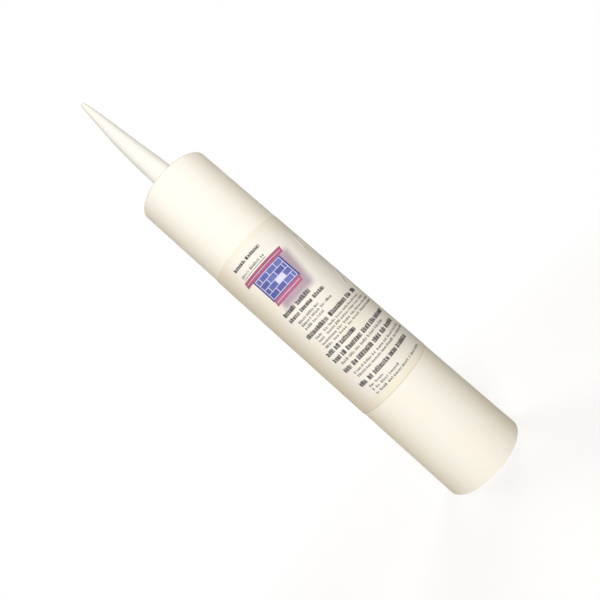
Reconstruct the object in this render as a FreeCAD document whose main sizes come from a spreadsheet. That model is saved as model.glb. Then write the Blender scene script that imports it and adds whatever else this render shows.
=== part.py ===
import FreeCAD, Part
import math
import os
import Sketcher

# One-piece plastic cartridge for a refractory patching compound.
# The cartridge stands on its rear rim: Z is its axis, z = 0 the plane of the rear rim,
# and the closed nozzle points up.

doc = FreeCAD.newDocument("RefractoryPatchTube")

# Driving dimensions, in millimetres. Diameters end in _dia.
SIZES = [
    # barrel
    ("barrel_length", 221.0),     # rear rim to shoulder face
    ("bore_dia", 46.0),           # straight bore that the plunger wipes
    ("rear_wall", 1.25),          # barrel wall at the rear rim; the outside is drafted
    ("front_wall", 0.9),          # barrel wall at the shoulder
    ("mouth_relief", 0.3),        # the rear mouth is wider than the bore by this, on the radius
    ("mouth_depth", 8.0),
    ("mouth_taper", 1.0),         # length in which the mouth narrows to the bore
    ("mouth_chamfer", 0.3),
    ("rim_chamfer", 0.25),        # outside edge of the rear rim
    ("shoulder_wall", 2.0),
    ("shoulder_round", 2.2),      # outside corner between barrel and shoulder
    ("bore_end_chamfer", 0.25),
    # nozzle, moulded in one with the barrel and closed at its tip
    ("nozzle_length", 75.0),
    ("nozzle_root_dia", 14.8),
    ("nozzle_tip_dia", 3.2),
    ("nozzle_bulge", 0.85),       # how far the side bows out past a straight cone
    ("nozzle_wall", 1.4),         # at the root and halfway up
    ("nozzle_root_round", 2.5),
    ("tip_bore_dia", 1.2),
    ("tip_plug", 4.0),            # solid length at the tip, cut off in use
    # plunger
    ("plunger_length", 22.0),
    ("plunger_setback", 1.0),     # from the start of the bore to the plunger's skirt
    ("lip_clearance", 0.08),      # wiping lips to bore, on the radius
    ("lip_height", 0.7),
    ("lip_land", 0.8),
    ("lip_ramp", 2.0),
    ("skirt_wall", 1.3),
    ("face_wall", 1.8),
    ("face_chamfer", 0.5),
    ("hub_dia", 13.0),
    ("hub_wall", 1.2),
    ("rib_thick", 1.0),
    ("rib_height", 10.0),         # ribs and hub, from the back of the front face
    ("rib_sink", 0.4),            # how far the ribs run into the walls that they join
    ("gate_dimple_dia", 6.0),     # moulding gate, a shallow dish in the front face
    ("gate_dimple_depth", 0.8),
    # compound
    ("fill_gap", 0.2),            # compound to bore, shoulder and plunger
    # paper label
    ("label_bottom", 59.6),       # height of the lower edge above the rear rim
    ("label_height", 104.7),
    ("label_thick", 0.12),
    ("label_overlap", 8.0),
    ("label_ramp", 1.6),          # length in which the overlapping end climbs over the other
    ("glue_gap", 0.03),
]
RIB_COUNT = 8
BALL = "ball"                     # an arc of a profile whose centre lies on the axis
LIP_PLACES = ["0", "0.5", "1"]    # rear, middle and front lip, as shares of their spacing

sheet = doc.addObject("Spreadsheet::Sheet", "Sizes")
for row, (alias, number) in enumerate(SIZES, start=1):
    sheet.set("A%d" % row, alias.replace("_", " "))
    sheet.set("B%d" % row, repr(number))
    sheet.setAlias("B%d" % row, alias)
doc.recompute()

# Sizes that follow from the driving ones, as expressions on the sheet.
BORE_R = "Sizes.bore_dia / 2"
MOUTH_R = "(Sizes.bore_dia / 2 + Sizes.mouth_relief)"
REAR_R = "(Sizes.bore_dia / 2 + Sizes.rear_wall)"
FRONT_R = "(Sizes.bore_dia / 2 + Sizes.front_wall)"
BORE_TOP = "(Sizes.barrel_length - Sizes.shoulder_wall)"
TIP_R = "(Sizes.nozzle_tip_dia / 2)"
TIP_Z = "(Sizes.barrel_length + Sizes.nozzle_length)"
NOZZLE_MID_R = "((Sizes.nozzle_root_dia + Sizes.nozzle_tip_dia) / 4 + Sizes.nozzle_bulge)"
NOZZLE_MID_Z = "(Sizes.barrel_length + Sizes.nozzle_length / 2)"
BORE_START = "(Sizes.mouth_depth + Sizes.mouth_taper)"
PLUNGER_Z = "(" + BORE_START + " + Sizes.plunger_setback)"
PLUNGER_FRONT_Z = "(" + PLUNGER_Z + " + Sizes.plunger_length)"
LIP_R = "(Sizes.bore_dia / 2 - Sizes.lip_clearance)"
GROOVE_R = "(" + LIP_R + " - Sizes.lip_height)"
SKIRT_R = "(" + GROOVE_R + " - Sizes.skirt_wall)"
FACE_BACK = "(Sizes.plunger_length - Sizes.face_wall)"


def value(expression):
    """The number that an expression on the sheet gives now."""
    result = sheet.evalExpression(expression)
    return float(getattr(result, "Value", result))


def barrel_radius(height):
    """Outside radius of the drafted barrel at a height, as an expression."""
    return "(%s + (%s - %s) * (%s) / Sizes.barrel_length)" % (REAR_R, FRONT_R, REAR_R, height)


def origin_plane(body, role):
    return [item for item in body.Origin.OriginFeatures if item.Role == role][0]


def new_body(name):
    body = doc.addObject("PartDesign::Body", name)
    body.Label = name
    return body


def new_sketch(body, name, role, height=None):
    """A sketch on one of the body's origin planes, raised to a height if one is given."""
    sketch = body.newObject("Sketcher::SketchObject", name)
    sketch.AttachmentSupport = [(origin_plane(body, role), "")]
    sketch.MapMode = "FlatFace"
    if height is not None:
        sketch.setExpression("AttachmentOffset.Base.z", height)
    doc.recompute()
    return sketch


def bind(sketch, constraint, name, expression):
    """Adds a driving constraint and ties it to an expression on the sheet."""
    index = sketch.addConstraint(constraint)
    sketch.renameConstraint(index, name)
    sketch.setExpression("Constraints." + name, expression)


def place_point(sketch, geo, end, name, radius, height):
    """Fixes a point of a profile at a radius and a height, each an expression or "0"."""
    if radius == "0":
        sketch.addConstraint(Sketcher.Constraint("PointOnObject", geo, end, -2))
    else:
        across = Sketcher.Constraint("DistanceX", -1, 1, geo, end, value(radius))
        bind(sketch, across, name + "_r", radius)
    if height == "0":
        sketch.addConstraint(Sketcher.Constraint("PointOnObject", geo, end, -1))
    else:
        up = Sketcher.Constraint("DistanceY", -1, 1, geo, end, value(height))
        bind(sketch, up, name + "_z", height)


def arc_radius(start, end, bulge):
    """Radius of the arc over the chord from start to end that bows out by bulge."""
    chord_squared = "((%s - %s)^2 + (%s - %s)^2)" % (start[0], end[0], start[1], end[1])
    return "(%s / (8 * %s) + %s / 2)" % (chord_squared, bulge, bulge)


def ball_radius(first, last):
    """Radius of the arc from first to last whose centre lies on the axis."""
    squares = last.x ** 2 - first.x ** 2 + last.y ** 2 - first.y ** 2
    centre_height = squares / (2 * (last.y - first.y))
    return math.hypot(first.x, first.y - centre_height)


def bowed_arc(first, last, radius):
    """The arc of that radius which runs anticlockwise from first to last."""
    chord = last - first
    inward = FreeCAD.Vector(-chord.y, chord.x, 0).normalize()
    depth = math.sqrt(radius ** 2 - (chord.Length / 2) ** 2)
    centre = first + chord * 0.5 + inward * depth
    circle = Part.Circle(centre, FreeCAD.Vector(0, 0, 1), radius)
    return Part.ArcOfCircle(circle, circle.parameter(first), circle.parameter(last))


def draw_profile(sketch, points, bulges=None):
    """A closed profile through (name, radius, height) points.

    A side named in bulges, by the point that it leaves, is an arc: it bows out by the
    expression given there, or is part of a ball."""
    bulges = bulges or {}
    count = len(points)
    arcs = {}
    for index, (name, radius, height) in enumerate(points):
        start = (radius, height)
        end = points[(index + 1) % count][1:]
        first, last = [FreeCAD.Vector(value(x), value(y), 0) for x, y in (start, end)]
        if bulges.get(name) == BALL:
            side = bowed_arc(first, last, ball_radius(first, last))
        elif name in bulges:
            arcs[index] = arc_radius(start, end, bulges[name])
            side = bowed_arc(first, last, value(arcs[index]))
        else:
            side = Part.LineSegment(first, last)
        sketch.addGeometry(side, False)
    for index in range(count):
        following = (index + 1) % count
        sketch.addConstraint(Sketcher.Constraint("Coincident", index, 2, following, 1))
    for index, (name, radius, height) in enumerate(points):
        place_point(sketch, index, 1, name, radius, height)
        if index in arcs:
            curve = Sketcher.Constraint("Radius", index, value(arcs[index]))
            bind(sketch, curve, name + "_arc", arcs[index])
        elif name in bulges:
            sketch.addConstraint(Sketcher.Constraint("PointOnObject", index, 3, -2))
    doc.recompute()


def revolve(body, kind, name, sketch):
    """A full turn of a profile about the sketch's vertical axis, added or cut."""
    feature = body.newObject(kind, name)
    feature.Profile = sketch
    feature.ReferenceAxis = (sketch, ["V_Axis"])
    feature.Angle = 360.0
    doc.recompute()
    return feature


def circles_at(feature, radius, height):
    """Names of the feature's circular edges with this radius at this height."""
    found = []
    for number, edge in enumerate(feature.Shape.Edges, start=1):
        if edge.Degenerated or not isinstance(edge.Curve, Part.Circle):
            continue
        same_radius = abs(edge.Curve.Radius - radius) < 1e-4
        if same_radius and abs(edge.Curve.Center.z - height) < 1e-4:
            found.append("Edge%d" % number)
    return found


def dress_edge(body, kind, name, base, radius, height, size_name, size):
    """A Fillet or Chamfer on the circular edge at a radius and height."""
    feature = body.newObject(kind, name)
    feature.Base = (base, circles_at(base, value(radius), value(height)))
    feature.setExpression(size_name, size)
    doc.recompute()
    return feature


def must_remove(before, after, name):
    """A cut that points away from the solid leaves its volume as it was."""
    if not after.Shape.Volume < before.Shape.Volume - 1e-3:
        raise RuntimeError(name + " removed nothing")


def build_cartridge_body():
    """Barrel, shoulder and closed nozzle, moulded in one piece."""
    body = new_body("cartridge_body")

    outside = new_sketch(body, "outside_profile", "XZ_Plane")
    nozzle_top = "(" + TIP_Z + " - " + TIP_R + ")"
    draw_profile(outside, [
        ("axis_rear", "0", "0"),
        ("rear_rim", REAR_R, "0"),
        ("shoulder", FRONT_R, "Sizes.barrel_length"),
        ("nozzle_root", "Sizes.nozzle_root_dia / 2", "Sizes.barrel_length"),
        ("nozzle_end", TIP_R, nozzle_top),
        ("tip", "0", TIP_Z),
    ], bulges={"nozzle_root": "Sizes.nozzle_bulge", "nozzle_end": BALL})
    blank = revolve(body, "PartDesign::Revolution", "outside_form", outside)

    cavity = new_sketch(body, "cavity_profile", "XZ_Plane")
    tip_bore_top = "(" + TIP_Z + " - Sizes.tip_plug)"
    draw_profile(cavity, [
        ("axis_rear", "0", "0"),
        ("mouth_rim", MOUTH_R, "0"),
        ("mouth_end", MOUTH_R, "Sizes.mouth_depth"),
        ("bore_rear", BORE_R, BORE_START),
        ("bore_front", BORE_R, BORE_TOP),
        ("nozzle_bore", "(Sizes.nozzle_root_dia / 2 - Sizes.nozzle_wall)", BORE_TOP),
        ("core_bend", "(" + NOZZLE_MID_R + " - Sizes.nozzle_wall)", NOZZLE_MID_Z),
        ("tip_bore", "Sizes.tip_bore_dia / 2", tip_bore_top),
        ("tip_bore_axis", "0", tip_bore_top),
    ])
    hollow = revolve(body, "PartDesign::Groove", "cavity", cavity)
    must_remove(blank, hollow, "cavity")

    corner = dress_edge(body, "PartDesign::Fillet", "shoulder_corner", hollow,
                        FRONT_R, "Sizes.barrel_length", "Radius", "Sizes.shoulder_round")
    root = dress_edge(body, "PartDesign::Fillet", "nozzle_root_blend", corner,
                      "Sizes.nozzle_root_dia / 2", "Sizes.barrel_length",
                      "Radius", "Sizes.nozzle_root_round")
    bore_end = dress_edge(body, "PartDesign::Chamfer", "bore_end_corner", root,
                          BORE_R, BORE_TOP, "Size", "Sizes.bore_end_chamfer")
    rim = dress_edge(body, "PartDesign::Chamfer", "rear_rim_edge", bore_end,
                     REAR_R, "0", "Size", "Sizes.rim_chamfer")
    lead_in = dress_edge(body, "PartDesign::Chamfer", "mouth_lead_in", rim,
                         MOUTH_R, "0", "Size", "Sizes.mouth_chamfer")
    body.Tip = lead_in
    return body


def lip_points(name, share):
    """One wiping lip of the plunger: a ramp up to a short land that trails a square edge."""
    spacing = "(%s - Sizes.lip_land - Sizes.lip_ramp)" % "(Sizes.plunger_length - Sizes.face_chamfer)"
    low = "(%s * %s)" % (share, spacing)
    land_start = "(%s + Sizes.lip_ramp)" % low
    land_end = "(%s + Sizes.lip_land)" % land_start
    return [
        (name + "_foot", GROOVE_R, low),
        (name + "_land", LIP_R, land_start),
        (name + "_edge", LIP_R, land_end),
        (name + "_step", GROOVE_R, land_end),
    ]


def build_plunger():
    """The moulded follower: a cup with three wiping lips, a hub and radial ribs at the back."""
    body = new_body("plunger")
    body.setExpression("Placement.Base.z", PLUNGER_Z)

    profile = new_sketch(body, "cup_profile", "XZ_Plane")
    rear, middle, front = [lip_points("lip%d" % number, share)
                           for number, share in enumerate(LIP_PLACES, start=1)]
    rear[0] = ("lip1_foot", GROOVE_R, "0")
    face_edge = ("face_edge", "(" + LIP_R + " - Sizes.face_chamfer)", "Sizes.plunger_length")
    draw_profile(profile, [
        ("skirt_rear", SKIRT_R, "0"),
        *rear,
        *middle,
        *front[:3],
        face_edge,
        ("face_axis", "0", "Sizes.plunger_length"),
        ("face_back_axis", "0", FACE_BACK),
        ("skirt_front", SKIRT_R, FACE_BACK),
    ])
    cup = revolve(body, "PartDesign::Revolution", "cup", profile)

    dimple_sketch = new_sketch(body, "gate_dimple_profile", "XZ_Plane")
    dimple_floor = "(Sizes.plunger_length - Sizes.gate_dimple_depth)"
    draw_profile(dimple_sketch, [
        ("floor_axis", "0", dimple_floor),
        ("rim", "Sizes.gate_dimple_dia / 2", "Sizes.plunger_length"),
        ("top_axis", "0", "Sizes.plunger_length"),
    ], bulges={"floor_axis": BALL})
    dimple = revolve(body, "PartDesign::Groove", "gate_dimple", dimple_sketch)
    must_remove(cup, dimple, "gate dimple")

    hub_base = "(" + FACE_BACK + " - Sizes.rib_height)"
    rib_reach = "(Sizes.rib_height + Sizes.rib_sink)"
    hub_sketch = new_sketch(body, "hub_ring", "XY_Plane", hub_base)
    for number, radius in enumerate(["Sizes.hub_dia / 2", "Sizes.hub_dia / 2 - Sizes.hub_wall"]):
        circle = Part.Circle(FreeCAD.Vector(0, 0, 0), FreeCAD.Vector(0, 0, 1), value(radius))
        hub_sketch.addGeometry(circle, False)
        hub_sketch.addConstraint(Sketcher.Constraint("Coincident", number, 3, -1, 1))
        bind(hub_sketch, Sketcher.Constraint("Radius", number, value(radius)),
             "hub_r%d" % number, radius)
    hub = body.newObject("PartDesign::Pad", "hub")
    hub.Profile = hub_sketch
    hub.setExpression("Length", rib_reach)
    doc.recompute()

    rib_sketch = new_sketch(body, "rib_outline", "XY_Plane", hub_base)
    inner = "(Sizes.hub_dia / 2 - Sizes.rib_sink)"
    outer = "(" + SKIRT_R + " + Sizes.rib_sink)"
    half = value("Sizes.rib_thick / 2")
    low, high = value(inner), value(outer)
    corners = [(low, -half), (high, -half), (high, half), (low, half)]
    for index, corner in enumerate(corners):
        following = corners[(index + 1) % 4]
        side = Part.LineSegment(FreeCAD.Vector(*corner, 0), FreeCAD.Vector(*following, 0))
        rib_sketch.addGeometry(side, False)
    for index in range(4):
        rib_sketch.addConstraint(Sketcher.Constraint("Coincident", index, 2, (index + 1) % 4, 1))
    rib_sketch.addConstraint([
        Sketcher.Constraint("Horizontal", 0),
        Sketcher.Constraint("Horizontal", 2),
        Sketcher.Constraint("Vertical", 1),
        Sketcher.Constraint("Symmetric", 0, 1, 2, 2, -1),
    ])
    thick = Sketcher.Constraint("DistanceY", 1, 1, 1, 2, 2 * half)
    bind(rib_sketch, thick, "rib_thick", "Sizes.rib_thick")
    bind(rib_sketch, Sketcher.Constraint("DistanceX", -1, 1, 0, 1, low), "rib_inner", inner)
    bind(rib_sketch, Sketcher.Constraint("DistanceX", -1, 1, 0, 2, high), "rib_outer", outer)
    doc.recompute()
    rib = body.newObject("PartDesign::Pad", "rib")
    rib.Profile = rib_sketch
    rib.setExpression("Length", rib_reach)
    doc.recompute()

    ribs = body.newObject("PartDesign::PolarPattern", "ribs")
    ribs.Originals = [rib]
    ribs.Axis = (rib_sketch, ["N_Axis"])
    ribs.Angle = 360.0
    ribs.Occurrences = RIB_COUNT
    body.Tip = ribs
    doc.recompute()
    return body


def build_compound():
    """The paste that fills the bore from the plunger to the shoulder."""
    column = doc.addObject("Part::Cylinder", "compound")
    column.Label = "compound"
    bottom = PLUNGER_FRONT_Z + " + Sizes.fill_gap"
    column.setExpression("Radius", BORE_R + " - Sizes.fill_gap")
    column.setExpression("Height", BORE_TOP + " - Sizes.fill_gap - (" + bottom + ")")
    column.setExpression("Placement.Base.z", bottom)
    return column


def wrap_section(body, name, height):
    """Section of the wrapped paper at a height: nearly a full turn on the barrel, then a ramp,
    then the overlapping end on top of the first one. Its free edge lies on the -X side.

    Angles are measured from -X, anticlockwise seen from above."""
    sketch = new_sketch(body, name, "XY_Plane", height)
    inner = "(%s + Sizes.glue_gap)" % barrel_radius(height)
    outer = "(%s + Sizes.label_thick)" % inner
    over_inner = "(%s + Sizes.glue_gap)" % outer
    over_outer = "(%s + Sizes.label_thick)" % over_inner
    overlap = "(Sizes.label_overlap / %s)" % inner
    ramp_end = "((Sizes.label_overlap + Sizes.label_ramp) / %s)" % inner

    turn = 2 * math.pi
    step = value(overlap)
    landing = value(ramp_end)
    arcs = [   # radius, where it starts and ends
        (over_inner, 0.0, step),
        (inner, landing, turn + step),
        (outer, landing, turn + step),
        (over_outer, 0.0, step),
    ]
    for number, (radius, first, last) in enumerate(arcs):
        circle = Part.Circle(FreeCAD.Vector(0, 0, 0), FreeCAD.Vector(0, 0, 1), value(radius))
        sketch.addGeometry(Part.ArcOfCircle(circle, math.pi + first, math.pi + last), False)
        sketch.addConstraint(Sketcher.Constraint("Coincident", number, 3, -1, 1))
        bind(sketch, Sketcher.Constraint("Radius", number, value(radius)),
             "arc%d_r" % number, radius)

    joins = [   # free edge, inside of the ramp, end under the overlap, outside of the ramp
        ((3, 1), (0, 1)),
        ((0, 2), (1, 1)),
        ((1, 2), (2, 2)),
        ((2, 1), (3, 2)),
    ]
    for first, last in joins:
        line = sketch.addGeometry(Part.LineSegment(sketch.getPoint(*first),
                                                   sketch.getPoint(*last)), False)
        sketch.addConstraint(Sketcher.Constraint("Coincident", line, 1, *first))
        sketch.addConstraint(Sketcher.Constraint("Coincident", line, 2, *last))

    for geo in (0, 3):
        sketch.addConstraint(Sketcher.Constraint("PointOnObject", geo, 1, -1))
    drops = [   # arc, its end, and the angle below the -X axis
        (0, 2, overlap), (3, 2, overlap),
        (1, 1, ramp_end), (2, 1, ramp_end),
        (1, 2, overlap), (2, 2, overlap),
    ]
    for geo, end, angle in drops:
        drop = "%s * sin(%s * 1rad)" % (arcs[geo][0], angle)
        down = Sketcher.Constraint("DistanceY", geo, end, -1, 1, value(drop))
        bind(sketch, down, "drop_%d_%d" % (geo, end), drop)
    doc.recompute()
    return sketch


def build_label():
    """The paper label, wrapped once round the barrel with a glued overlap."""
    body = new_body("label")
    lower = wrap_section(body, "lower_edge", "Sizes.label_bottom")
    upper = wrap_section(body, "upper_edge", "(Sizes.label_bottom + Sizes.label_height)")
    wrap = body.newObject("PartDesign::AdditiveLoft", "wrap")
    wrap.Profile = lower
    wrap.Sections = [upper]
    wrap.Ruled = True
    body.Tip = wrap
    doc.recompute()
    return body


PARTS = [build_cartridge_body(), build_plunger(), build_compound(), build_label()]
doc.recompute()

for item in doc.Objects:
    bad = [word for word in item.State if word in ("Invalid", "Error")]
    if bad:
        raise RuntimeError("%s is %s" % (item.Name, ", ".join(bad)))
for item in PARTS:
    if item.Shape.isNull() or not item.Shape.isValid() or not item.Shape.Solids:
        raise RuntimeError(item.Label + " has no valid solid")

os.makedirs("parts", exist_ok=True)
for item in PARTS:
    item.Shape.exportStep("parts/%s.step" % item.Label)
    box = item.Shape.BoundBox
    print("%-15s %d solid, %9.1f mm3, z %.2f to %.2f" % (
        item.Label, len(item.Shape.Solids), item.Shape.Volume, box.ZMin, box.ZMax))
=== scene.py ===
import math

import bpy
import numpy as np
from mathutils import Matrix, Vector


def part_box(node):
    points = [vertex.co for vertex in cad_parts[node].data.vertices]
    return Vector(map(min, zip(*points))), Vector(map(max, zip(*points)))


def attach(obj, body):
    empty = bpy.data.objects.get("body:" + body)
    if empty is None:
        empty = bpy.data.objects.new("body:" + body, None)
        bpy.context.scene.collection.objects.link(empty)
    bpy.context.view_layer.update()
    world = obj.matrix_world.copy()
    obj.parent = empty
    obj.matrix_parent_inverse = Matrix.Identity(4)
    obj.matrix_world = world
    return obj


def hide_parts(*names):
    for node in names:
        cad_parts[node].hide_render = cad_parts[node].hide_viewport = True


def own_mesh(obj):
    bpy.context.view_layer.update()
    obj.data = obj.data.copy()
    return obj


# A cartridge of patching paste for a caulking gun, standing on its rear rim: the moulded
# barrel with its nozzle, the plunger, the paste between them and a printed paper wrap.
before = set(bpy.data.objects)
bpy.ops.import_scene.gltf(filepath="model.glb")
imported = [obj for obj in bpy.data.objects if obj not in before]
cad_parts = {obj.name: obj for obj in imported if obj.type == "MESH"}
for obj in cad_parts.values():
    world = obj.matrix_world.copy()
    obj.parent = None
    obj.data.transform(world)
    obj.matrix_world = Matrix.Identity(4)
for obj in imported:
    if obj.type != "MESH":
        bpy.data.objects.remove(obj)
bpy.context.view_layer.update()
mm = 0.001                             # the dictionaries below are in millimetres
sharpAngle = 32                        # edges that turn by more degrees than this stay hard

tubeHigh = np.array(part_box("cartridge_body")[1]) / mm
paperLow, paperHigh = (np.array(corner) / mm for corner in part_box("label"))
pasteLow, pasteHigh = (np.array(corner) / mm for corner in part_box("compound"))
print("frame loaded")


# Quads between neighbouring points of a grid. They face the way given by
# (step to the next row) x (step to the next column).
def gridQuads(rows, columns, closed=False):
    row, column = np.meshgrid(np.arange(rows - 1), np.arange(columns if closed else columns - 1),
                              indexing="ij")
    after = (column + 1) % columns
    corners = [row * columns + column, (row + 1) * columns + column,
               (row + 1) * columns + after, row * columns + after]
    return np.stack(corners, -1).reshape(-1, 4)


# Faces of a closed slab: an upper grid of points, a lower grid with the same count after it,
# and walls round the rim that join the two.
def slabQuads(rows, columns):
    upper = gridQuads(rows, columns)
    index = np.arange(rows * columns).reshape(rows, columns)
    rim = np.concatenate([index[:-1, 0], index[-1, :-1], index[:0:-1, -1], index[0, :0:-1]])
    after = np.roll(rim, -1)
    below = rows * columns
    walls = np.stack([after, rim, rim + below, after + below], -1)
    return np.concatenate([upper, upper[:, ::-1] + below, walls])


# Turns a profile of (radius, height) about Z. It starts and ends on the axis, and going down
# its outside the faces point outwards: x = r cos a, y = r sin a, z = h.
def turned(profile, count):
    ring = np.array(profile[1:-1])
    angle = np.arange(count) * 2 * math.pi / count
    around = np.stack([np.cos(angle), np.sin(angle)], -1)
    points = np.concatenate([ring[:, None, :1] * around[None],
                             np.repeat(ring[:, None, 1:], count, 1)], -1).reshape(-1, 3)
    start, end = len(points), len(points) + 1
    points = np.concatenate([points, [[0, 0, profile[0][1]], [0, 0, profile[-1][1]]]])
    here = np.arange(count)
    after = (here + 1) % count
    last = (len(ring) - 1) * count
    pairs = list(zip(here.tolist(), after.tolist()))
    fans = [[start, one, other] for one, other in pairs]
    fans += [[last + one, end, last + other] for one, other in pairs]
    return points, gridQuads(len(ring), count, closed=True).tolist() + fans


def straight(start, end, count):       # points on a line, both ends among them
    share = np.linspace(0, 1, count)[:, None]
    return np.array(start) * (1 - share) + np.array(end) * share


def bend(centre, radius, first, last, count):      # points on an arc, angles in degrees
    angle = np.radians(np.linspace(first, last, count))
    return np.stack([centre[0] + radius * np.cos(angle), centre[1] + radius * np.sin(angle)], -1)


def chain(*runs):                      # runs of a profile one after another, without doubles
    joined = np.concatenate(runs)
    apart = np.linalg.norm(np.diff(joined, axis=0), axis=1) > 1e-6
    return joined[np.concatenate([[True], apart])]


# Makes the object of a piece from points in millimetres; values are vectors kept at its points.
def makePiece(name, points, faces, body, material, values=None):
    mesh = bpy.data.meshes.new(name)
    mesh.from_pydata((np.asarray(points) * mm).tolist(), [], faces)
    mesh.shade_smooth()
    mesh.set_sharp_from_angle(angle=math.radians(sharpAngle))
    for key, data in (values or {}).items():
        store = mesh.attributes.new(key, "FLOAT_VECTOR", "POINT")
        store.data.foreach_set("vector", np.asarray(data, np.float32).ravel())
    mesh.materials.append(material)
    piece = bpy.data.objects.new(name, mesh)
    bpy.context.scene.collection.objects.link(piece)
    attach(piece, body)
    return piece


# One value in a material: sums on it add Math nodes, and add() makes any other node.
class Wire:
    def __init__(self, tree, socket=None):
        self.tree, self.socket = tree, socket

    def add(self, kind, settings=None, values=None, out=0):
        node = self.tree.nodes.new(kind)
        for key, setting in (settings or {}).items():
            setattr(node, key, setting)
        for key, value in (values or {}).items():
            socket = node.inputs[key]
            if isinstance(value, Wire):
                self.tree.links.new(value.socket, socket)
            elif isinstance(value, tuple) and socket.type == "RGBA":
                socket.default_value = (*value, 1)
            else:
                socket.default_value = value
        return Wire(self.tree, node.outputs[out] if node.outputs else None)

    def math(self, operation, *others):
        return self.add("ShaderNodeMath", {"operation": operation},
                        dict(enumerate((self, *others))))

    def __add__(self, other):
        return self.math("ADD", other)

    def __sub__(self, other):
        return self.math("SUBTRACT", other)

    def __rsub__(self, other):
        return self.add("ShaderNodeMath", {"operation": "SUBTRACT"}, {0: other, 1: self})

    def __mul__(self, other):
        return self.math("MULTIPLY", other)

    __radd__, __rmul__ = __add__, __mul__

    # 0 below low, 1 above high, and a smooth rise between; the other way round if low > high
    def rise(self, low, high):
        flip = low > high
        return self.add("ShaderNodeMapRange", {"interpolation_type": "SMOOTHSTEP"},
                        {"Value": self, "From Min": min(low, high), "From Max": max(low, high),
                         "To Min": 1.0 if flip else 0.0, "To Max": 0.0 if flip else 1.0})

    def span(self, reach):             # the same between two places of a coordinate in metres
        return self.rise(reach[0] * mm, reach[1] * mm)

    def mix(self, first, second):      # colours, self is the share of the second
        return self.add("ShaderNodeMix", {"data_type": "RGBA"},
                        {0: self, 6: first, 7: second}, out=2)

    def parts(self):
        split = self.add("ShaderNodeSeparateXYZ", None, {0: self})
        return [Wire(self.tree, socket) for socket in split.socket.node.outputs]

    # coordinates scaled along each axis: a pattern on them is drawn out where the scale is small
    def stretched(self, scale, turn=(0, 0, 0)):
        return self.add("ShaderNodeMapping", {"vector_type": "POINT"},
                        {"Vector": self, "Scale": scale, "Rotation": turn})

    # a cloud of values about 0.5, with its size in millimetres
    def cloud(self, size, detail=2.0, rough=0.5):
        return self.add("ShaderNodeTexNoise", None,
                        {"Vector": self, "Scale": 1 / (size * mm), "Detail": detail,
                         "Roughness": rough})


def newMaterial(name):
    material = bpy.data.materials.new(name)
    material.use_nodes = True
    material.node_tree.nodes.clear()
    return material, Wire(material.node_tree)


def place(wire):                       # the piece's own coordinates, in metres
    return wire.add("ShaderNodeTexCoord", out=3)


def bumped(height, depth):             # depth in millimetres where the height is 1
    return height.add("ShaderNodeBump", None,
                      {"Height": height, "Distance": depth * mm, "Strength": 1.0})


def surface(wire, **values):           # underscores in the names stand for spaces
    named = {key.replace("_", " "): value for key, value in values.items()}
    shader = wire.add("ShaderNodeBsdfPrincipled", None, named)
    wire.add("ShaderNodeOutputMaterial", None, {"Surface": shader})


plastic = {
    "cream": (0.898, 0.824, 0.670),
    "warm": (0.900, 0.808, 0.650),     # broad, faint patches
    "pale": (0.905, 0.856, 0.752),     # painted highlight towards the nozzle; also the rear rim's lowest millimetre
    "nozzle": (0.905, 0.872, 0.800),   # painted highlight on the nozzle and on the side towards -Y
    "dust": (0.50, 0.45, 0.36),
    # heights between which each change is made
    "upperHighlight": (130, 215), "toNozzle": (220, 232), "paleRim": (1.1, 0.15), "seamStart": (224, 227),
    "front": (-11, -22.5),             # depths between which the side towards -Y is painted whiter, a painted highlight
    "seam": (0.16, 0.05),              # half width of the nozzle's seam
    "patchSize": 26, "fineSize": 2.2, "skinSize": 0.8, "wavesSize": 9, "scratchSize": 0.9,
    # how strongly each change shows in the colour, and each kind of mark in the bump
    "fineShare": 0.14, "upperHighlightShare": 0.4, "frontShare": 0.6, "rimShare": 0.8,
    "scratchShare": 0.2, "speckShare": 0.4,
    "drawRelief": 0.30, "skinRelief": 0.22, "wavesRelief": 1.1, "scratchRelief": 0.25,
    "seamRelief": 0.9,
    "relief": 0.045, "roughness": 0.48,
}


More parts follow.
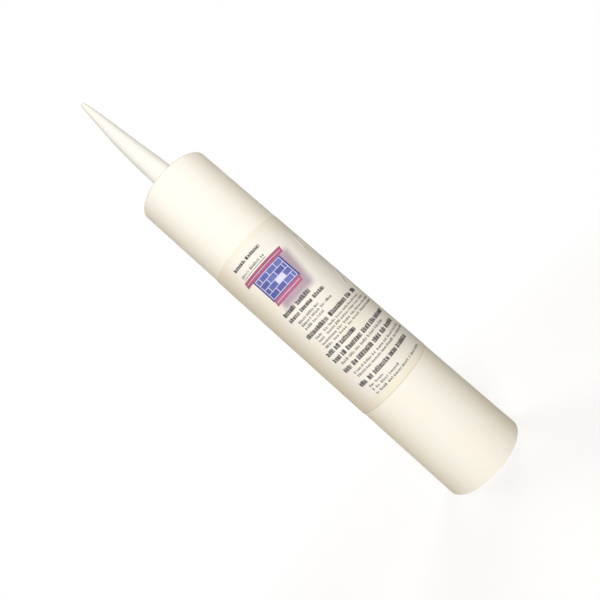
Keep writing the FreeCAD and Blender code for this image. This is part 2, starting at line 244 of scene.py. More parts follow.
def plasticMaterial():
    material, wire = newMaterial("cartridgePlastic")
    spot = place(wire)
    _, depth, height = spot.parts()
    patches = spot.cloud(plastic["patchSize"]).rise(0.38, 0.64)
    colour = patches.mix(plastic["cream"], plastic["warm"])
    fine = spot.cloud(plastic["fineSize"], 3.0, 0.6)
    colour = (fine.rise(0.35, 0.7) * plastic["fineShare"]).mix(colour, plastic["pale"])
    # painted highlight: the barrel is painted whiter towards the nozzle, and the nozzle whiter
    # still
    upperHighlight = height.span(plastic["upperHighlight"]) * plastic["upperHighlightShare"]
    colour = upperHighlight.mix(colour, plastic["pale"])
    colour = height.span(plastic["toNozzle"]).mix(colour, plastic["nozzle"])
    # painted highlight: the side towards -Y is painted whiter than the flanks
    front = depth.span(plastic["front"]) * plastic["frontShare"]
    colour = front.mix(colour, plastic["nozzle"])
    # the rear rim's lowest millimetre is painted whiter
    rimPaling = height.span(plastic["paleRim"]) * plastic["rimShare"]
    colour = rimPaling.mix(colour, plastic["pale"])
    # handling marks: thin scratches that run a little off the axis, and a few dark specks
    offAxis = spot.stretched((1, 1, 0.035), (0.25, 0.1, 0.0))
    scratches = offAxis.cloud(plastic["scratchSize"], 3.0, 0.65)
    scratchMask = scratches.rise(0.66, 0.74) * spot.cloud(17, 1.0).rise(0.5, 0.66)
    specks = spot.cloud(0.55, 0.0).rise(0.775, 0.82) * spot.cloud(30, 1.0).rise(0.5, 0.6)
    marks = scratchMask * plastic["scratchShare"] + specks * plastic["speckShare"]
    colour = marks.mix(colour, plastic["dust"])
    # bump: faint draw marks along the barrel, a mottled skin, broad waves, scratches and the seam
    draw = spot.stretched((1, 1, 0.012)).cloud(1.1)
    skin = spot.cloud(plastic["skinSize"], 3.0, 0.6)
    waves = spot.cloud(plastic["wavesSize"], 1.0)
    seam = depth.math("ABSOLUTE").span(plastic["seam"]) * height.span(plastic["seamStart"])
    relief = (draw * plastic["drawRelief"] + skin * plastic["skinRelief"]
              + waves * plastic["wavesRelief"] - scratchMask * plastic["scratchRelief"]
              + seam * plastic["seamRelief"])
    surface(wire, Base_Color=colour,
            Roughness=plastic["roughness"] + (fine - 0.5) * 0.16 + scratchMask * 0.12,
            Normal=bumped(relief, plastic["relief"]),
            Specular_IOR_Level=0.42, IOR=1.5)
    return material


# barrel, shoulder and nozzle are one moulding
shell = {
    "rearRadius": tubeHigh[0], "length": 221.0, "frontRadius": 23.9,
    "boreRadius": 23.0, "mouthRadius": 23.3, "mouthDepth": 8.0, "mouthTaper": 1.0,
    "rimChamfer": 0.25, "mouthChamfer": 0.3, "boreEndChamfer": 0.25,
    "shoulderWall": 2.0, "shoulderRound": 2.2,
    "nozzleRoot": 7.4, "nozzleTip": 1.6, "nozzleBulge": 0.85, "rootRound": 2.5,
    "nozzleWall": 1.4, "tipBore": 0.6, "tipPlug": 4.0,
    "nozzleBow": 0.5,                  # how far the nozzle sags sideways at mid-length
    "around": 160,
}


def barrelRadius(height):              # the outside is drafted: wider at the rear
    share = height / shell["length"]
    return shell["rearRadius"] * (1 - share) + shell["frontRadius"] * share


# The nozzle's side: a straight cone plus a bulge that is greatest at mid-length,
# r = root (1 - s) + tip s + 4 bulge s (1 - s).
def nozzleRadius(height, top):
    share = (height - shell["length"]) / (top - shell["length"])
    cone = shell["nozzleRoot"] * (1 - share) + shell["nozzleTip"] * share
    return cone + 4 * shell["nozzleBulge"] * share * (1 - share)


# The moulding's profile, from the tip down the outside, over the rear rim and up the inside.
def makeShell(material):
    tipTop = tubeHigh[2]
    length, tipRadius, rootRound = shell["length"], shell["nozzleTip"], shell["rootRound"]
    ballCentre = tipTop - tipRadius
    rootTop = length + rootRound
    rootCentre = nozzleRadius(rootTop, ballCentre) + rootRound
    sideHeights = np.linspace(ballCentre, rootTop, 48)
    side = np.stack([nozzleRadius(sideHeights, ballCentre), sideHeights], -1)
    shoulderRound = shell["shoulderRound"]
    cornerIn, cornerDown = shell["frontRadius"] - shoulderRound, length - shoulderRound
    rear, mouth, bore = shell["rearRadius"], shell["mouthRadius"], shell["boreRadius"]
    rimChamfer, mouthChamfer = shell["rimChamfer"], shell["mouthChamfer"]
    boreTop, boreChamfer = length - shell["shoulderWall"], shell["boreEndChamfer"]
    coreEnd = tipTop - shell["tipPlug"]
    coreRoot = shell["nozzleRoot"] - shell["nozzleWall"]
    coreMiddle = ((shell["nozzleRoot"] + tipRadius) / 2 + shell["nozzleBulge"]
                  - shell["nozzleWall"])
    profile = chain(
        [[0, tipTop]],
        bend((0, ballCentre), tipRadius, 82, 0, 9),
        side,
        bend((rootCentre, rootTop), rootRound, 180, 270, 9),
        straight((rootCentre, length), (cornerIn, length), 10),
        bend((cornerIn, cornerDown), shoulderRound, 90, 0, 10),
        straight((barrelRadius(cornerDown), cornerDown), (rear, rimChamfer), 72),
        straight((rear - rimChamfer, 0), (mouth + mouthChamfer, 0), 3),
        [[mouth, mouthChamfer], [mouth, shell["mouthDepth"]]],
        straight((bore, shell["mouthDepth"] + shell["mouthTaper"]),
                 (bore, boreTop - boreChamfer), 40),
        straight((bore - boreChamfer, boreTop), (coreRoot, boreTop), 6),
        straight((coreMiddle, (length + tipTop) / 2), (shell["tipBore"], coreEnd), 12),
        [[0, coreEnd]],
    )
    points, faces = turned(profile, shell["around"])
    # the nozzle bows towards -X as sin^2 of its share of the height
    share = np.clip((points[:, 2] - length) / (tipTop - length), 0, 1)
    points[:, 0] -= shell["nozzleBow"] * np.sin(math.pi * share) ** 2
    piece = makePiece("cartridgeShell", points, faces, "cartridge", material)
    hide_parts("cartridge_body")


makeShell(plasticMaterial())
print("cartridge shell made")


paper = {
    "bottom": float(paperLow[2]), "top": float(paperHigh[2]),
    "thick": 0.12, "glue": 0.03, "overlap": 8.0, "ramp": 1.6,
    "around": 330, "up": 104,
    "printRadius": 24.15,              # the radius on which arcs along the label are measured
    "slope": 0.018,                    # the print runs down a little to the right
    "bed": 0.05,                       # ink slabs reach this far into the paper
    "plain": (0.852, 0.810, 0.728),
    "yellowed": (0.848, 0.788, 0.632),
    "sideShade": (0.69, 0.54, 0.39),     # painted shade on the sides
    "fibre": (0.70, 0.63, 0.54),
    # colour of the painted shade along the edges and on the folds
    "paintedShade": (0.42, 0.38, 0.31),
    # distances from the lower and the upper edge over which the paper yellows, and over which
    # painted shade darkens the edges
    "yellowLow": (6.5, 2.0), "yellowHigh": (5.0, 1.5),
    "edgeShadeLow": (0.55, 0.1), "edgeShadeHigh": (0.5, 0.1), "edgeShadeFree": (0.53, 0.13),
    # arcs over which the left side changes, on both ends of the sheet where they overlap
    "yellowLeft": [(-15, -27), (94, 110)], "darkLeft": [(-8, -22), (92, 108)],
    "darkRight": [(14, 27), (80, 50)],
    "lilac": (0.32, 0.19, 0.29),       # the soft shadow printed behind the emblem
    "shadowArc": (-10.6, -6.0, 9.8, 15.2),          # it starts, is whole, starts to fade, is gone
    "shadowLevel": (121.5, 126.5, 144.5, 149.0),    # the same going up
    "shadowLean": 0.18,
    # creases: arc and height of each end, height of the fold, half width
    "creases": [(26.6, 151.6, 23.8, 136.0, 0.48, 0.6), (27.2, 151.0, 31.8, 131.0, 0.54, 0.7),
                (31.6, 123.5, 23.6, 110.2, 0.50, 0.65), (32.4, 123.0, 27.6, 104.0, 0.46, 0.75),
                (-55.0, 104.0, -41.0, 96.0, 0.10, 0.9), (58.0, 150.0, 74.0, 146.5, 0.12, 0.8),
                (48.0, 79.0, 53.0, 66.0, 0.10, 0.7)],
    "fade": 5.0,                       # over this length a crease dies out at each end
    "foldShadeLift": (0.04, 0.30),        # heights of a fold between which it takes its full painted shade
    # how strongly each change shows in the colour
    "yellowHighShare": 0.6, "stainShare": 0.55, "darkLeftShare": 0.28, "darkRightShare": 0.14,
    "shadowShare": 0.76, "fibreShare": 0.10, "edgeShadeShare": 0.42, "foldShare": 0.42,
    "relief": 0.05, "roughness": 0.70,
}


# How far the paper stands off its bed at an arc and height: each crease is a ridge,
# height x exp(-(distance to its line / width)^2), and it fades at its two ends.
def creaseLift(arc, height):
    lift = np.zeros(np.broadcast(arc, height).shape)
    fade = paper["fade"]
    for firstArc, firstZ, lastArc, lastZ, tall, wide in paper["creases"]:
        length = math.hypot(lastArc - firstArc, lastZ - firstZ)
        alongArc, alongZ = (lastArc - firstArc) / length, (lastZ - firstZ) / length
        along = (arc - firstArc) * alongArc + (height - firstZ) * alongZ
        off = (arc - firstArc) * alongZ - (height - firstZ) * alongArc
        ends = np.clip(along / fade, 0, 1) * np.clip((length - along) / fade, 0, 1)
        lift += tall * np.exp(-(off / wide) ** 2) * ends
    return lift


# A point on the label's printed side: x = r sin f, y = -r cos f, with f = arc / printRadius.
def onPaper(arc, height, lift):
    radius = barrelRadius(height) + paper["glue"] + paper["thick"] + creaseLift(arc, height) + lift
    turn = arc / paper["printRadius"]
    return np.stack([radius * np.sin(turn), -radius * np.cos(turn), height + 0 * arc], -1)


def sheetValues(wire):                 # what makePiece kept at the points of paper and ink
    return wire.add("ShaderNodeAttribute", {"attribute_name": "sheet"}, out=1).parts()


def paperMaterial():
    material, wire = newMaterial("labelPaper")
    spot = place(wire)
    arc, height, lifted = sheetValues(wire)
    bottom, top = paper["bottom"], paper["top"]
    level = height + arc * paper["slope"]
    colour = (level - bottom).rise(*paper["yellowLow"]).mix(paper["plain"], paper["yellowed"])
    upper = (top - level).rise(*paper["yellowHigh"]) * paper["yellowHighShare"]
    colour = upper.mix(colour, paper["yellowed"])
    # painted shade: the left side is painted yellower and darker, the right side slightly darker,
    # on top of random yellow stains
    yellow, yellowUnder = (arc.rise(*reach) for reach in paper["yellowLeft"])
    stainsAndShade = (spot.cloud(14, 3.0).rise(0.45, 0.72) * paper["stainShare"]
              + (yellow + yellowUnder))
    colour = stainsAndShade.math("MINIMUM", 1.0).mix(colour, paper["yellowed"])
    dark, darkUnder = (arc.rise(*reach) for reach in paper["darkLeft"])
    start, end = (arc.rise(*reach) for reach in paper["darkRight"])
    sideShade = (dark + darkUnder) * paper["darkLeftShare"] + start * end * paper["darkRightShare"]
    colour = sideShade.mix(colour, paper["sideShade"])
    # the soft shadow behind the emblem: a leaning box with soft sides
    arcIn, arcWhole, arcFade, arcOut = paper["shadowArc"]
    lowIn, lowWhole, highFade, highOut = paper["shadowLevel"]
    across = arc - (level - (lowIn + highOut) / 2) * paper["shadowLean"]
    shade = across.rise(arcIn, arcWhole) * across.rise(arcOut, arcFade)
    shade = shade * level.rise(lowIn, lowWhole) * level.rise(highOut, highFade)
    colour = (shade * paper["shadowShare"]).mix(colour, paper["lilac"])
    # fibres, and painted shade along the cut edges and on the folds
    fibres = spot.stretched((1, 1, 0.45)).cloud(0.5, 3.0, 0.65)
    colour = (fibres.rise(0.3, 0.75) * paper["fibreShare"]).mix(colour, paper["fibre"])
    fromFree = arc + math.pi / 2 * paper["printRadius"]
    edge = ((height - bottom).rise(*paper["edgeShadeLow"])
            + (top - height).rise(*paper["edgeShadeHigh"]) * 0.3
            + fromFree.rise(*paper["edgeShadeFree"]) * 0.8)
    fold = lifted.rise(*paper["foldShadeLift"])
    shaded = edge * paper["edgeShadeShare"] + fold * paper["foldShare"]
    colour = shaded.mix(colour, paper["paintedShade"])
    surface(wire, Base_Color=colour, Roughness=paper["roughness"] + (fibres - 0.5) * 0.2,
            Normal=bumped(fibres * 0.6 + spot.cloud(5) * 0.8, paper["relief"]),
            Specular_IOR_Level=0.14, IOR=1.5)
    return material


# The wrap as a slab: it starts at the free edge on -X on top of the other end, ramps down
# and runs once round. Radius = barrel + glue + (glue + thickness while it overlaps) + creases.
def makeLabel(material):
    bottom, top, glue, thick = paper["bottom"], paper["top"], paper["glue"], paper["thick"]
    radius = barrelRadius((bottom + top) / 2) + glue
    step = paper["overlap"] / radius
    landing = step + paper["ramp"] / radius
    turn = np.unique(np.concatenate([
        np.linspace(0, step, 16), np.linspace(step, landing, 9),
        np.linspace(landing, 2 * math.pi + step, paper["around"])]))
    turn, height = np.meshgrid(turn, np.linspace(bottom, top, paper["up"]), indexing="ij")
    down = np.clip((turn - step) / (landing - step), 0, 1)
    lapped = (glue + thick) * (1 - down * down * (3 - 2 * down))
    arc = (turn - math.pi / 2) * paper["printRadius"]
    lift = creaseLift(arc, height)
    inside = barrelRadius(height) + glue + lapped + lift
    grids = [np.stack([-side * np.cos(turn), -side * np.sin(turn), height], -1)
             for side in (inside + thick, inside)]
    sheet = np.stack([arc, height, lift], -1).reshape(-1, 3)
    points = np.concatenate([grid.reshape(-1, 3) for grid in grids])
    piece = makePiece("labelPaper", points, slabQuads(*turn.shape).tolist(), "cartridge",
                      material, values={"sheet": np.concatenate([sheet, sheet])})
    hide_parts("label")


makeLabel(paperMaterial())
print("label made")


# Inked shapes as thin slabs bedded in the paper. Each cell is (first arc, last arc,
# lowest height, highest height). Its grid follows the paper's curve, leans by lean x height
# and slopes down to the right with the rest of the print: height = rise - slope x arc.
def inkPatches(name, cells, material, lift, columns=1, rows=1, lean=0.0, seed=1):
    cells = np.asarray(cells, float)
    across = np.linspace(0, 1, columns + 1)[None, :, None]
    upward = np.linspace(0, 1, rows + 1)[None, None, :]
    first, last, low, high = (cells[:, side, None, None] for side in range(4))
    rise = low * (1 - upward) + high * upward + 0 * across
    arc = first * (1 - across) + last * across + lean * (rise - (low + high) / 2)
    height = rise - paper["slope"] * arc
    grids = [onPaper(arc, height, depth) for depth in (lift, -paper["bed"])]
    points = np.stack(grids, 1).reshape(-1, 3)
    each = 2 * (columns + 1) * (rows + 1)
    faces = (slabQuads(columns + 1, rows + 1)[None]
             + (np.arange(len(cells)) * each)[:, None, None]).reshape(-1, 4)
    chance = np.random.default_rng(seed).random(len(cells))
    sheet = np.stack([arc, height, chance[:, None, None] + 0 * arc], -1)
    sheet = np.repeat(sheet[:, None], 2, 1).reshape(-1, 3)
    makePiece(name, points, faces.tolist(), "cartridge", material,
              values={"sheet": sheet})


# Ink that sinks into the paper: the colour varies from mark to mark between its two values,
# and in a share of it, thin, the paper shows through in specks.
def inkMaterial(name, dark, light, thin):
    material, wire = newMaterial(name)
    spot = place(wire)
    chance = sheetValues(wire)[2]
    grain = spot.cloud(0.35, 2.0, 0.6)
    colour = (chance * 0.7 + spot.cloud(3) * 0.4 - 0.1).mix(dark, light)
    colour = (grain.rise(0.56, 0.72) * thin).mix(colour, paper["plain"])
    surface(wire, Base_Color=colour, Roughness=0.58 + (grain - 0.5) * 0.2,
            Normal=bumped(grain, 0.02), Specular_IOR_Level=0.35, IOR=1.5)
    return material


# Rows of upright strokes that stand for lines of type, without letters: the height of the
# row's middle, the row's own height, and the first and last arc of each word.
headingRows = [
    (157.1, 1.85, [(-13.75, -5.0), (-4.25, 6.0)]),
    (123.0, 2.5, [(-13.9, -5.25), (-4.25, 5.75)]),
    (119.0, 2.05, [(-14.1, -6.35), (-5.65, 3.25), (3.9, 12.0)]),
    (107.2, 2.5, [(-14.25, 1.5), (2.5, 14.9), (15.9, 20.5), (21.5, 26.0)]),
    (94.1, 2.4, [(-14.25, -9.1), (-8.15, -5.1), (-4.25, 6.25)]),
    (89.8, 2.5, [(-14.25, -9.1), (-8.15, -5.1), (-4.25, 6.25), (7.1, 12.75), (13.4, 17.65),
                 (18.25, 28.25)]),
    (82.8, 2.5, [(-14.25, -9.1), (-8.15, -5.1), (-4.25, 6.25), (7.1, 12.75), (13.6, 17.25),
                 (18.25, 27.0)]),
    (72.6, 2.5, [(-14.25, -9.1), (-8.15, -5.1), (-4.25, 6.25), (7.1, 12.75), (13.4, 23.5)]),
]
finePrintRows = [
    (115.4, 1.45, [(-11, -5.75), (-5, 0), (0.6, 3.25)]),
    (113.2, 1.45, [(-11, -5.5), (-5, -4), (-3.5, 2), (2.75, 5.5), (6.4, 11.25)]),
    (110.9, 1.45, [(-11, -5.75), (-5.25, -2.25), (-1.75, 2.5)]),
    (104.0, 1.28, [(-11.1, -6.75), (-5.0, -2.2), (-1.4, 3.0), (3.8, 8.4), (9.2, 12.6), (13.4, 18.3),
                  (19.1, 24.3)]),
    (101.9, 1.28, [(-11.1, -6.75), (-5.0, 0.3), (1.1, 4.2), (5.0, 10.6), (11.4, 15.4), (16.2, 20.2),
                  (21.0, 26.6)]),
    (99.6, 1.28, [(-11.1, -1.0), (0.0, 3.5), (4.3, 9.4), (10.2, 13.0), (13.8, 19.6), (20.4, 24.0),
                 (24.8, 29.0)]),
    (97.4, 1.28, [(-11.1, -6.75), (-5.0, -1.6), (-0.8, 4.6), (5.4, 8.2), (9.0, 14.4), (15.2, 20.4),
                 (21.2, 29.6)]),
    (86.5, 1.51, [(-11.85, -7), (-6.25, -2.5), (-1.75, 1), (1.9, 6.25), (7, 8.5), (9.1, 12.5),
                 (13.25, 16.25), (16.9, 20.75)]),
    (79.0, 1.39, [(-11.1, -10.3), (-9.5, -4.6), (-3.8, 1.0), (1.8, 4.4), (5.2, 10.0), (10.8, 13.2),
                 (14.0, 18.8), (19.6, 23.0), (23.8, 27.0)]),
    (76.7, 1.39, [(-11.1, -5.6), (-4.8, -1.8), (-1.0, 5.2), (6.0, 9.4), (10.2, 16.0), (16.8, 19.4),
                 (20.2, 25.4), (26.2, 29.5)]),
    (69.2, 1.33, [(-11.1, -8.25), (-7, -1.75)]),
    (67.0, 1.33, [(-11.1, -9.75), (-8.75, -6.25), (-5.4, -0.5), (0.4, 7.25)]),
    (64.7, 1.33, [(-11.1, -9.3), (-8.5, -3.4), (-2.6, 0.4), (1.2, 6.6), (7.4, 12.8), (13.6, 14.6),
                  (15.4, 19.6), (20.4, 25.5)]),
    (152.1, 1.51, [(-13.5, -7.4), (-6.6, 0.4), (1.4, 3.75)]),
]
strokes = {
    # share of marks that stand taller and that are broken, and where and how widely they break
    "heavy": {"width": (0.30, 0.74), "gap": (0.05, 0.12), "apart": 3.2, "body": 0.84,
              "tall": 0.36, "broken": 0.3, "breakAt": (0.25, 0.65), "notch": 0.20},
    "fine": {"width": (0.16, 0.42), "gap": (0.08, 0.19), "apart": 3.2, "body": 0.74,
             "tall": 0.34, "broken": 0.2, "breakAt": (0.25, 0.65), "notch": 0.14},
    "underline": (-13.6, 3.5, 150.25, 150.55),
    "lift": {"heavy": 0.025, "fine": 0.020, "underline": 0.022},     # the ink's height
}


# Marks for rows of words: widths and gaps are drawn in turn and added up along each word,
# and every second gap is a wider one, so that the marks stand in pairs. A word's first mark
# and some others stand taller than the rest, and some are broken once at a chance height.
def wordCells(rows, look, seed):
    chance = np.random.default_rng(seed)
    cells = []
    for middle, tall, words in rows:
        for first, last in words:
            count = int((last - first) / (look["width"][0] + look["gap"][0])) + 2
            width = chance.uniform(*look["width"], count)
            gap = chance.uniform(*look["gap"], count)
            gap[1::2] *= look["apart"]
            ends = first + np.cumsum(width + gap) - gap
            keep = ends <= last
            width, ends = width[keep], ends[keep]
            starts = ends - width
            low = np.full(len(ends), middle - tall / 2)
            reach = np.where(chance.random(len(ends)) < look["tall"], 1.0, look["body"])
            reach[:1] = 1.0
            high = low + tall * reach
            broken = chance.random(len(ends)) < look["broken"]
            cut = low + tall * chance.uniform(*look["breakAt"], len(ends))
            broken &= cut <= high
            cells.append(np.stack([starts, ends, low, np.where(broken, cut, high)], -1))
            cells.append(np.stack([starts, ends, cut + look["notch"], high], -1)[broken])
    return np.concatenate(cells)


blackInk = inkMaterial("blackInk", (0.026, 0.023, 0.029), (0.054, 0.049, 0.057), 0.08)
greyInk = inkMaterial("greyInk", (0.034, 0.028, 0.032), (0.092, 0.077, 0.079), 0.12)
inkPatches("labelHeadings", wordCells(headingRows, strokes["heavy"], seed=5), blackInk,
           strokes["lift"]["heavy"])
inkPatches("labelFinePrint", wordCells(finePrintRows, strokes["fine"], seed=8), greyInk,
           strokes["lift"]["fine"])
inkPatches("labelRule", [strokes["underline"]], greyInk, strokes["lift"]["underline"], columns=20)
print("lines of print made")


# a panel of bricks between two bands, in the same arcs and heights as the print
emblem = {
    "left": -11.4, "right": 8.6, "low": 131.4, "high": 146.6,
    "frame": 0.9, "line": 0.45,        # outer frame, and the pale line inside it
    "courses": 4, "inCourse": 6,       # courses, and the most bricks that one course needs
    "brick": 5.3, "joint": 0.42, "narrowest": 0.6,
    "paleBrick": (1, 2),               # its course and its place there
    "bands": [(-15.6, 12.2, 146.0, 149.4), (-11.3, 7.6, 128.6, 131.9)],     # cells of ink
    "lean": 0.3,                       # the bands' ends slant by this much
    "stripe": 0.32, "stripeInset": 1.0,
    "lift": {"frame": 0.016, "joints": 0.024, "bricks": 0.032, "bands": 0.040, "stripes": 0.047},
}


# A panel of bricks laid in courses, each course half a brick along from the last:
# arc = left + (place - half in every second course) x brick, cut off at the panel's sides.
def brickCells():
    inset = emblem["frame"] + emblem["line"]
    left, right = emblem["left"] + inset, emblem["right"] - inset
    low, high = emblem["low"] + inset, emblem["high"] - inset
    courses, brick, joint = emblem["courses"], emblem["brick"], emblem["joint"]
    tall = (high - low + joint) / courses
    course, column = np.meshgrid(np.arange(courses), np.arange(emblem["inCourse"]), indexing="ij")
    start = left + (column - 0.5 * (course % 2)) * brick
    cells = np.stack([np.clip(start, left, right), np.clip(start + brick - joint, left, right),
                      low + course * tall, low + (course + 1) * tall - joint], -1)
    wide = cells[..., 1] - cells[..., 0] > emblem["narrowest"]
    pale = (course == emblem["paleBrick"][0]) & (column == emblem["paleBrick"][1])
    return cells[wide & ~pale], cells[pale]


def makeEmblem():
    lilacInk = inkMaterial("lilacInk", (0.52, 0.52, 0.72), (0.68, 0.67, 0.82), 0.15)
    frameInk = inkMaterial("frameInk", (0.045, 0.050, 0.22), (0.075, 0.082, 0.29), 0.15)
    brickInk = inkMaterial("brickInk", (0.075, 0.085, 0.30), (0.20, 0.225, 0.51), 0.18)
    redInk = inkMaterial("redInk", (0.34, 0.07, 0.14), (0.50, 0.14, 0.24), 0.3)
    paleInk = inkMaterial("paleInk", (0.66, 0.65, 0.80), (0.74, 0.72, 0.84), 0.25)
    lift, lean = emblem["lift"], emblem["lean"]
    panel = np.array([emblem["left"], emblem["right"], emblem["low"], emblem["high"]])
    inner = panel + emblem["frame"] * np.array([1, -1, 1, -1])
    bricks, palest = brickCells()
    inkPatches("emblemFrame", [panel], frameInk, lift["frame"], columns=28, rows=12)
    inkPatches("emblemJoints", [inner], lilacInk, lift["joints"], columns=28, rows=12)
    inkPatches("emblemBricks", bricks, brickInk, lift["bricks"], columns=7, rows=3, seed=3)
    inkPatches("emblemPatch", palest, paleInk, lift["bricks"], columns=7, rows=3)
    bands = np.array(emblem["bands"])
    inkPatches("emblemBands", bands, redInk, lift["bands"], columns=36, rows=4, lean=lean)
    middle, half, inset = bands[:, 2:].mean(1), emblem["stripe"] / 2, emblem["stripeInset"]
    stripes = np.stack([bands[:, 0] + inset, bands[:, 1] - inset, middle - half, middle + half], -1)
    inkPatches("emblemLines", stripes, lilacInk, lift["stripes"], columns=36, lean=lean)


makeEmblem()
print("emblem made")


plunger = {
    "light": (0.80, 0.79, 0.735), "shade": (0.75, 0.735, 0.67),     # two close tones in clouds
    "scuffed": (0.60, 0.57, 0.50),
    "cloudSize": 11, "fineSize": 1.4, "scuffSize": 0.7, "scuffShare": 0.25,
    "relief": 0.04, "roughness": 0.40,
}


def plungerMaterial():
    material, wire = newMaterial("plungerPlastic")
    spot = place(wire)
    fine = spot.cloud(plunger["fineSize"], 3.0, 0.6)
    tone = spot.cloud(plunger["cloudSize"]).rise(0.35, 0.68)
    colour = tone.mix(plunger["light"], plunger["shade"])
    scuff = spot.stretched((1, 1, 0.12)).cloud(plunger["scuffSize"], 3.0).rise(0.62, 0.74)
    colour = (scuff * plunger["scuffShare"]).mix(colour, plunger["scuffed"])
    surface(wire, Base_Color=colour,
            Roughness=plunger["roughness"] + (fine - 0.5) * 0.18 + scuff * 0.15,
            Normal=bumped(fine * 0.5 + spot.cloud(5, 1.0), plunger["relief"]),
            Specular_IOR_Level=0.4, IOR=1.5)
    return material


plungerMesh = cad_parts["plunger"].data       # it keeps the CAD's shape
plungerMesh.materials.clear()
plungerMesh.materials.append(plungerMaterial())
print("plunger finished")


paste = {
    "radius": pasteHigh[0], "low": pasteLow[2], "high": pasteHigh[2],
    "around": 128,
    "rim": 0.6,                        # radius of the rounded rims
    "core": 3.0,                       # the faces' first ring round their middle
    "ripple": 0.05, "lobes": 7, "wave": 3.0,        # depth, count round, and length over 2 pi
    "dark": (0.36, 0.325, 0.265), "pale": (0.44, 0.40, 0.33), "sand": (0.62, 0.58, 0.50),
    "cloudSize": 8, "gritSize": 0.9, "sandSize": 0.45, "sandShare": 0.6,
    "relief": 0.25, "roughness": 0.62,
}


def pasteMaterial():
    material, wire = newMaterial("pasteCompound")
    spot = place(wire)
    grit = spot.cloud(paste["gritSize"], 4.0, 0.7)
    tone = spot.cloud(paste["cloudSize"], 3.0).rise(0.35, 0.65)
    sand = spot.cloud(paste["sandSize"], 1.0).rise(0.64, 0.72)
    colour = tone.mix(paste["dark"], paste["pale"])
    colour = (sand * paste["sandShare"]).mix(colour, paste["sand"])
    surface(wire, Base_Color=colour, Roughness=paste["roughness"] + (grit - 0.5) * 0.3,
            Normal=bumped(grit + sand * 0.5, paste["relief"]), Specular_IOR_Level=0.5, IOR=1.5)
    return material


# A packed column of paste: a straight cylinder with rounded rims, drawn in by a small
# ripple, r = radius - ripple (1 + sin(lobes x angle) sin(height / wave)) / 2.
def makePaste(material):
    radius, low, high, rim, core = (paste[key] for key in ("radius", "low", "high", "rim", "core"))
    profile = chain([[0, high]], straight((core, high), (radius - rim, high), 8),
                    bend((radius - rim, high - rim), rim, 90, 0, 6),
                    straight((radius, high - rim), (radius, low + rim), 60),
                    bend((radius - rim, low + rim), rim, 0, -90, 6),
                    straight((radius - rim, low), (core, low), 8), [[0, low]])
    points, faces = turned(profile, paste["around"])
    angle = np.arctan2(points[:, 1], points[:, 0])
    waves = np.sin(paste["lobes"] * angle) * np.sin(points[:, 2] / paste["wave"])
    across = np.hypot(points[:, 0], points[:, 1])
    drawn = np.where(across > 0, paste["ripple"] * (1 + waves) / 2, 0)
    points[:, :2] *= (1 - drawn / np.maximum(across, core))[:, None]
    piece = makePiece("pasteColumn", points, faces, "cartridge", material)
    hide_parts("compound")
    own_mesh(piece)


makePaste(pasteMaterial())
print("compound made")


studio = {
    "hole": 24.3,                      # the floor is open under the tube's mouth
    "reach": 4000.0,
    "litWithin": (110.0, 260.0),       # the lit floor gives way to plain white out here
    "rings": 40, "around": 96,
    "floorColour": 0.50,
    "floorGlow": 0.56,                 # what the camera sees on top of the lit floor
    "farGlow": 0.3,                    # how much of the plain white lights the object
    "ambient": (0.250, 0.229, 0.200),
    "inGloss": 0.15,                   # how much of the white a reflection shows
}


# Pure white to the camera and through glass, part of it in reflections, softer as light.
def whiteTo(wire):
    path = wire.add("ShaderNodeLightPath").socket.node.outputs
    camera, glossy, through = (Wire(wire.tree, path[name]) for name in
                               ("Is Camera Ray", "Is Glossy Ray", "Is Transmission Ray"))
    return camera.math("MAXIMUM", through).math("MAXIMUM", glossy * studio["inGloss"])


def floorMaterial():
    material, wire = newMaterial("floorSheet")
    x, y, _ = place(wire).parts()
    away = (x * x + y * y).math("SQRT")
    seen = whiteTo(wire)
    lit = wire.add("ShaderNodeBsdfDiffuse", None, {"Color": (studio["floorColour"],) * 3})
    glow = wire.add("ShaderNodeEmission", None,
                    {"Color": (1, 1, 1), "Strength": seen * studio["floorGlow"]})
    near = wire.add("ShaderNodeAddShader", None, {0: lit, 1: glow})
    white = wire.add("ShaderNodeEmission", None,
                     {"Color": (1, 1, 1),
                      "Strength": studio["farGlow"] + (1 - studio["farGlow"]) * seen})
    above = wire.add("ShaderNodeMixShader", None,
                     {0: away.span(studio["litWithin"]), 1: near, 2: white})
    clear = wire.add("ShaderNodeBsdfTransparent", None, {"Color": (1, 1, 1)})
    under = wire.add("ShaderNodeNewGeometry", out=6)          # seen from below, the floor is clear
    both = wire.add("ShaderNodeMixShader", None, {0: under, 1: above, 2: clear})
    wire.add("ShaderNodeOutputMaterial", None, {"Surface": both})
    return material


# The floor is a disc with a round hole: x = r cos a, y = r sin a, its rings ever wider apart.
def makeFloor(material):
    count, around = studio["rings"], studio["around"]
    radius = np.geomspace(studio["hole"], studio["reach"], count)[:, None]
    angle = np.arange(around) * 2 * math.pi / around
    points = np.stack([radius * np.cos(angle), radius * np.sin(angle),
                       np.zeros((count, around))], -1).reshape(-1, 3)
    mesh = bpy.data.meshes.new("floor")
    mesh.from_pydata((points * mm).tolist(), [], gridQuads(count, around, closed=True).tolist())
    mesh.materials.append(material)
    floor = bpy.data.objects.new("floor", mesh)
    bpy.context.scene.collection.objects.link(floor)


def makeWorld():
    world = bpy.data.worlds.new("studioWorld")
    world.use_nodes = True
    world.node_tree.nodes.clear()
    wire = Wire(world.node_tree)
    colour = whiteTo(wire).mix(studio["ambient"], (1.0, 1.0, 1.0))
    sky = wire.add("ShaderNodeBackground", None, {"Color": colour, "Strength": 1.0})
    wire.add("ShaderNodeOutputWorld", None, {"Surface": sky})
    bpy.context.scene.world = world


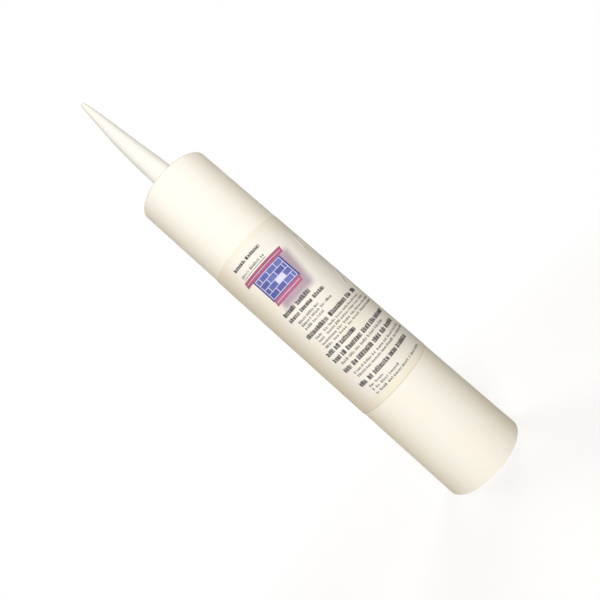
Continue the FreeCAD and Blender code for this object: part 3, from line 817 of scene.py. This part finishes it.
# place and aim in millimetres, size in metres, power in watts, spread in degrees, colour
lamps = {
    "key": ((-62, -647, 262), (0, 0, 155), 0.36, 4.06, 180, (0.985, 1.0, 1.02)),
    "backLeft": ((-330, 590, 330), (0, 0, 150), 0.40, 2.2, 180, (1.0, 1.0, 1.0)),
    "backRight": ((330, 590, 330), (0, 0, 150), 0.40, 2.2, 180, (1.0, 1.0, 1.0)),
    "side": ((300, -60, 330), (20, 0, 245), 0.14, 0.018, 60, (1.0, 1.0, 1.0)),
    "below": ((60, -230, -430), (0, 0, 60), 0.30, 1.6, 180, (1.0, 1.0, 1.0)),
}


# A round lamp. It isn't seen in the object's gloss, where it would burn the sides out.
def makeLamp(name, spot, aim, size, power, spread, colour):
    light = bpy.data.lights.new(name, "AREA")
    light.shape = "DISK"
    light.size = size
    light.energy = power
    light.spread = math.radians(spread)
    light.color = colour
    lamp = bpy.data.objects.new(name, light)
    lamp.location = Vector(spot) * mm
    lamp.rotation_euler = (Vector(aim) - Vector(spot)).to_track_quat("-Z", "Y").to_euler()
    lamp.visible_camera = False
    lamp.visible_glossy = False
    bpy.context.scene.collection.objects.link(lamp)


# The camera stands level with the barrel's middle and is rolled, so that the tube lies
# across the picture with its nozzle up to the left.
view = {"place": (0, -263.592, 110.163), "ahead": (-0.002701, 0.993815, 0.111012),
        "roll": 48.6138, "lens": 28.9235, "shift": (0.0333, -0.0333)}


def makeCamera():
    ahead = Vector(view["ahead"]).normalized()
    up = (Vector((0, 0, 1)) - ahead * ahead.z).normalized()
    up.rotate(Matrix.Rotation(math.radians(view["roll"]), 3, ahead))
    right = ahead.cross(up)
    lens = bpy.data.cameras.new("camera")
    lens.lens, lens.sensor_width = view["lens"], 36
    lens.shift_x, lens.shift_y = view["shift"]
    lens.clip_start, lens.clip_end = 0.01, 20
    camera = bpy.data.objects.new("camera", lens)
    turn = Matrix((right, up, -ahead)).transposed().to_4x4()
    camera.matrix_world = Matrix.Translation(Vector(view["place"]) * mm) @ turn
    bpy.context.scene.collection.objects.link(camera)
    bpy.context.scene.camera = camera


makeFloor(floorMaterial())
makeWorld()
for name, values in lamps.items():
    makeLamp(name, *values)
makeCamera()
bpy.context.scene.view_settings.view_transform = "Standard"
print("stage, lamps and camera placed")
